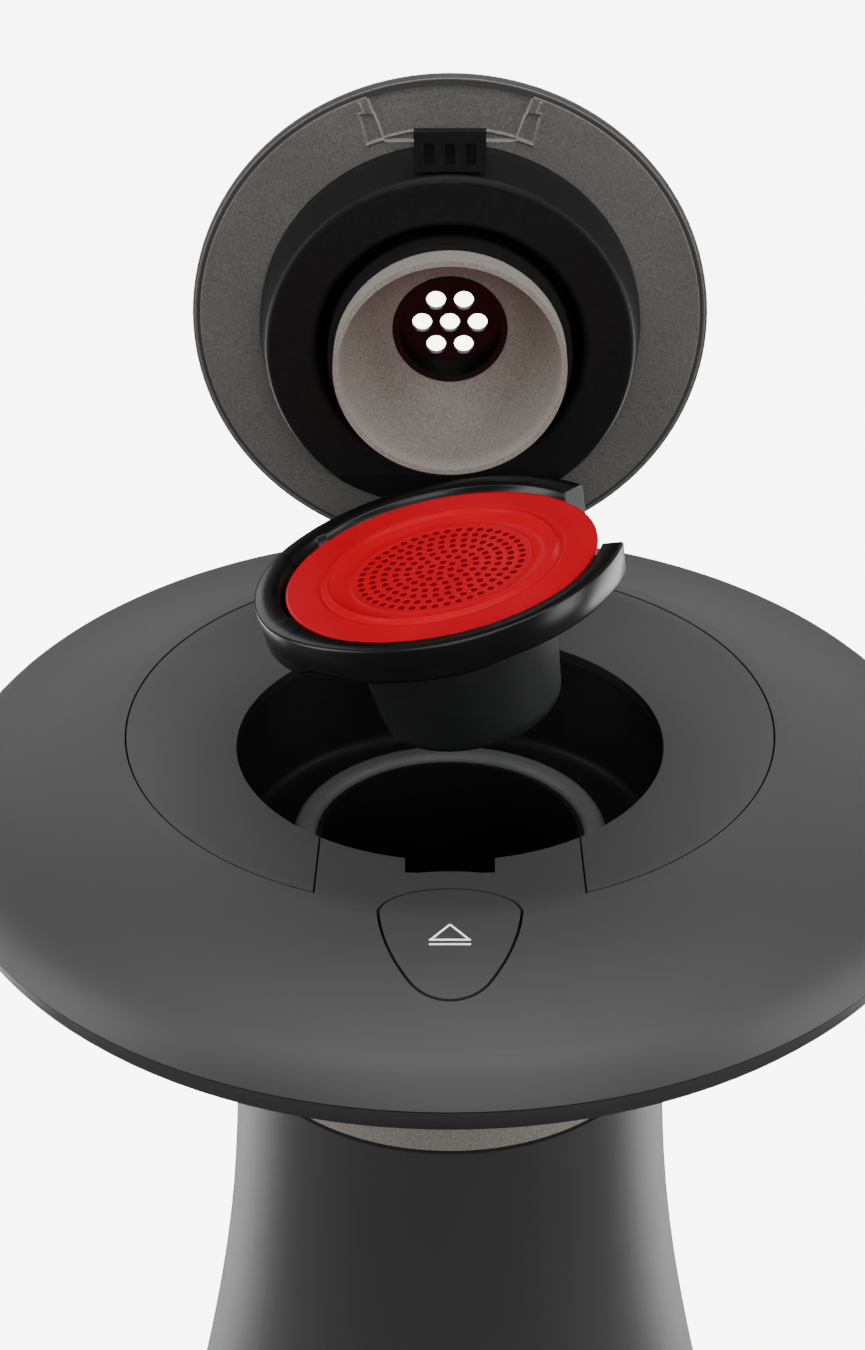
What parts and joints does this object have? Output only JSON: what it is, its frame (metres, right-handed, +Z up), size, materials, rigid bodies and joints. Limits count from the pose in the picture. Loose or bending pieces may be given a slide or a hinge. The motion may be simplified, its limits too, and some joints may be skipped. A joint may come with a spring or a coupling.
{
  "type": "pod coffee machine",
  "caption": "Pod coffee machine: flat round head on a flaring stem, hinged round lid, pod in a lifted holder, spout, cup niche and rear tank.",
  "frame": {"origin": "middle of the object's box in plan, under the stem's axis, at the level the rubber feet rest on", "axes": "+Z up along the stem; -Y is the front with spout, cup niche and drip tray; +X is to the right seen from the front"},
  "size_m": [0.222, 0.222, 0.416],
  "materials": {
    "black_plastic": "matte black moulding",
    "board_green": "solder-masked board",
    "cast_alloy": "die-cast aluminium",
    "charcoal_plastic": "fine-textured charcoal moulding",
    "gloss_black": "polished black moulding",
    "hose_clear": "translucent silicone hose",
    "pod_black": "thin black thermoformed plastic",
    "pod_red": "glossy red film",
    "seal_rubber": "silicone rubber",
    "steel": "stainless steel",
    "tank_smoke": "smoke-tinted copolyester",
    "taupe_metallic": "satin taupe metallic coat",
    "warm_grey_metallic": "grainy warm-grey metallic coat",
    "white_plastic": "natural acetal"
  },
  "bodies": {
    "root": {"base_plate": "black_plastic", "base_screws": "steel", "bay_floor": "black_plastic", "brew_hose": "hose_clear", "brew_well": "black_plastic", "button_spring": "steel", "catch_spring": "steel", "chamber_liner": "black_plastic", "chassis_frame": "black_plastic", "control_board": "board_green", "flow_meter_body": "black_plastic", "head_lower_shell": "charcoal_plastic", "head_upper_shell": "charcoal_plastic", "hinge_bracket": "black_plastic", "hinge_pin": "steel", "hot_hose": "hose_clear", "inlet_hose": "hose_clear", "latch_carrier": "black_plastic", "lid_switch": "black_plastic", "neck_collar": "taupe_metallic", "niche_liner": "black_plastic", "outlet_nozzle": "steel", "power_inlet": "black_plastic", "power_switch_housing": "black_plastic", "pump_body": "steel", "pump_hose": "hose_clear", "pump_mounts": "seal_rubber", "rear_panel": "black_plastic", "rubber_feet": "seal_rubber", "seat_ring": "seal_rubber", "spout_body": "black_plastic", "spout_nozzle": "seal_rubber", "stem_shell": "charcoal_plastic", "tank_dock": "black_plastic", "thermoblock": "cast_alloy", "top_panel": "charcoal_plastic"},
    "lid": {"lid_cover": "charcoal_plastic", "lid_inner_panel": "warm_grey_metallic", "lid_boss": "black_plastic", "lid_bell": "taupe_metallic", "vent_disc": "gloss_black", "bell_seal": "seal_rubber", "latch_hook": "black_plastic", "lid_knuckle": "charcoal_plastic"},
    "button": {"eject_button": "charcoal_plastic"},
    "catch": {"lid_catch": "black_plastic"},
    "holder": {"pod_holder": "gloss_black"},
    "pod": {"pod_cup": "pod_black", "pod_lid": "pod_red"},
    "tray": {"drip_tray": "black_plastic"},
    "grate": {"drip_grate": "black_plastic"},
    "tank": {"water_tank": "tank_smoke", "tank_lid": "black_plastic", "tank_valve": "black_plastic"},
    "rocker": {"power_rocker": "gloss_black"},
    "rotor": {"flow_meter_rotor": "white_plastic"}
  },
  "joints": [
    {"name": "lid_hinge", "type": "hinge", "parent": "root", "child": "lid", "pos_m": [0, 0.0642, 0.29495], "axis": [1, 0, 0], "range_deg": [0, 88.2], "stiffness_Nm_per_rad": 0.05, "springref_deg": -85.94},
    {"name": "holder_seat", "type": "hinge", "parent": "root", "child": "holder", "pos_m": [-0.30961, 0.05601, 0.29444], "axis": [0.1836, 0.9804, 0.0715], "range_deg": [0, 11.94]},
    {"name": "pod_lift", "type": "slide", "parent": "holder", "child": "pod", "axis": [0.2025, -0.0395, -0.9785], "range_m": [-0.038, 0]},
    {"name": "eject_press", "type": "slide", "parent": "root", "child": "button", "axis": [0, 0, -1], "range_m": [0, 0.0025], "stiffness_N_per_m": 300, "springref_m": -0.001, "deforming": ["button_spring"]},
    {"name": "catch_slide", "type": "slide", "parent": "root", "child": "catch", "axis": [0, -1, 0], "range_m": [0, 0.002]},
    {"name": "tray_slide", "type": "slide", "parent": "root", "child": "tray", "axis": [0, -1, 0], "range_m": [0, 0.09]},
    {"name": "grate_lift", "type": "slide", "parent": "tray", "child": "grate", "axis": [0, 0, 1], "range_m": [0, 0.04]},
    {"name": "tank_slide", "type": "slide", "parent": "root", "child": "tank", "axis": [0, 1, 0], "range_m": [0, 0.1]},
    {"name": "switch_rock", "type": "hinge", "parent": "root", "child": "rocker", "pos_m": [0.019, 0.0655, 0.028], "axis": [1, 0, 0], "range_deg": [0, 6]},
    {"name": "meter_spin", "type": "hinge", "parent": "root", "child": "rotor", "pos_m": [0.02, -0.016, 0.029], "axis": [0, 0, 1], "continuous": true}
  ],
  "couplings": [
    {"joint": "holder_seat", "follows": "lid_hinge", "ratio": 0.13533},
    {"joint": "catch_slide", "follows": "eject_press", "ratio": 0.8}
  ]
}
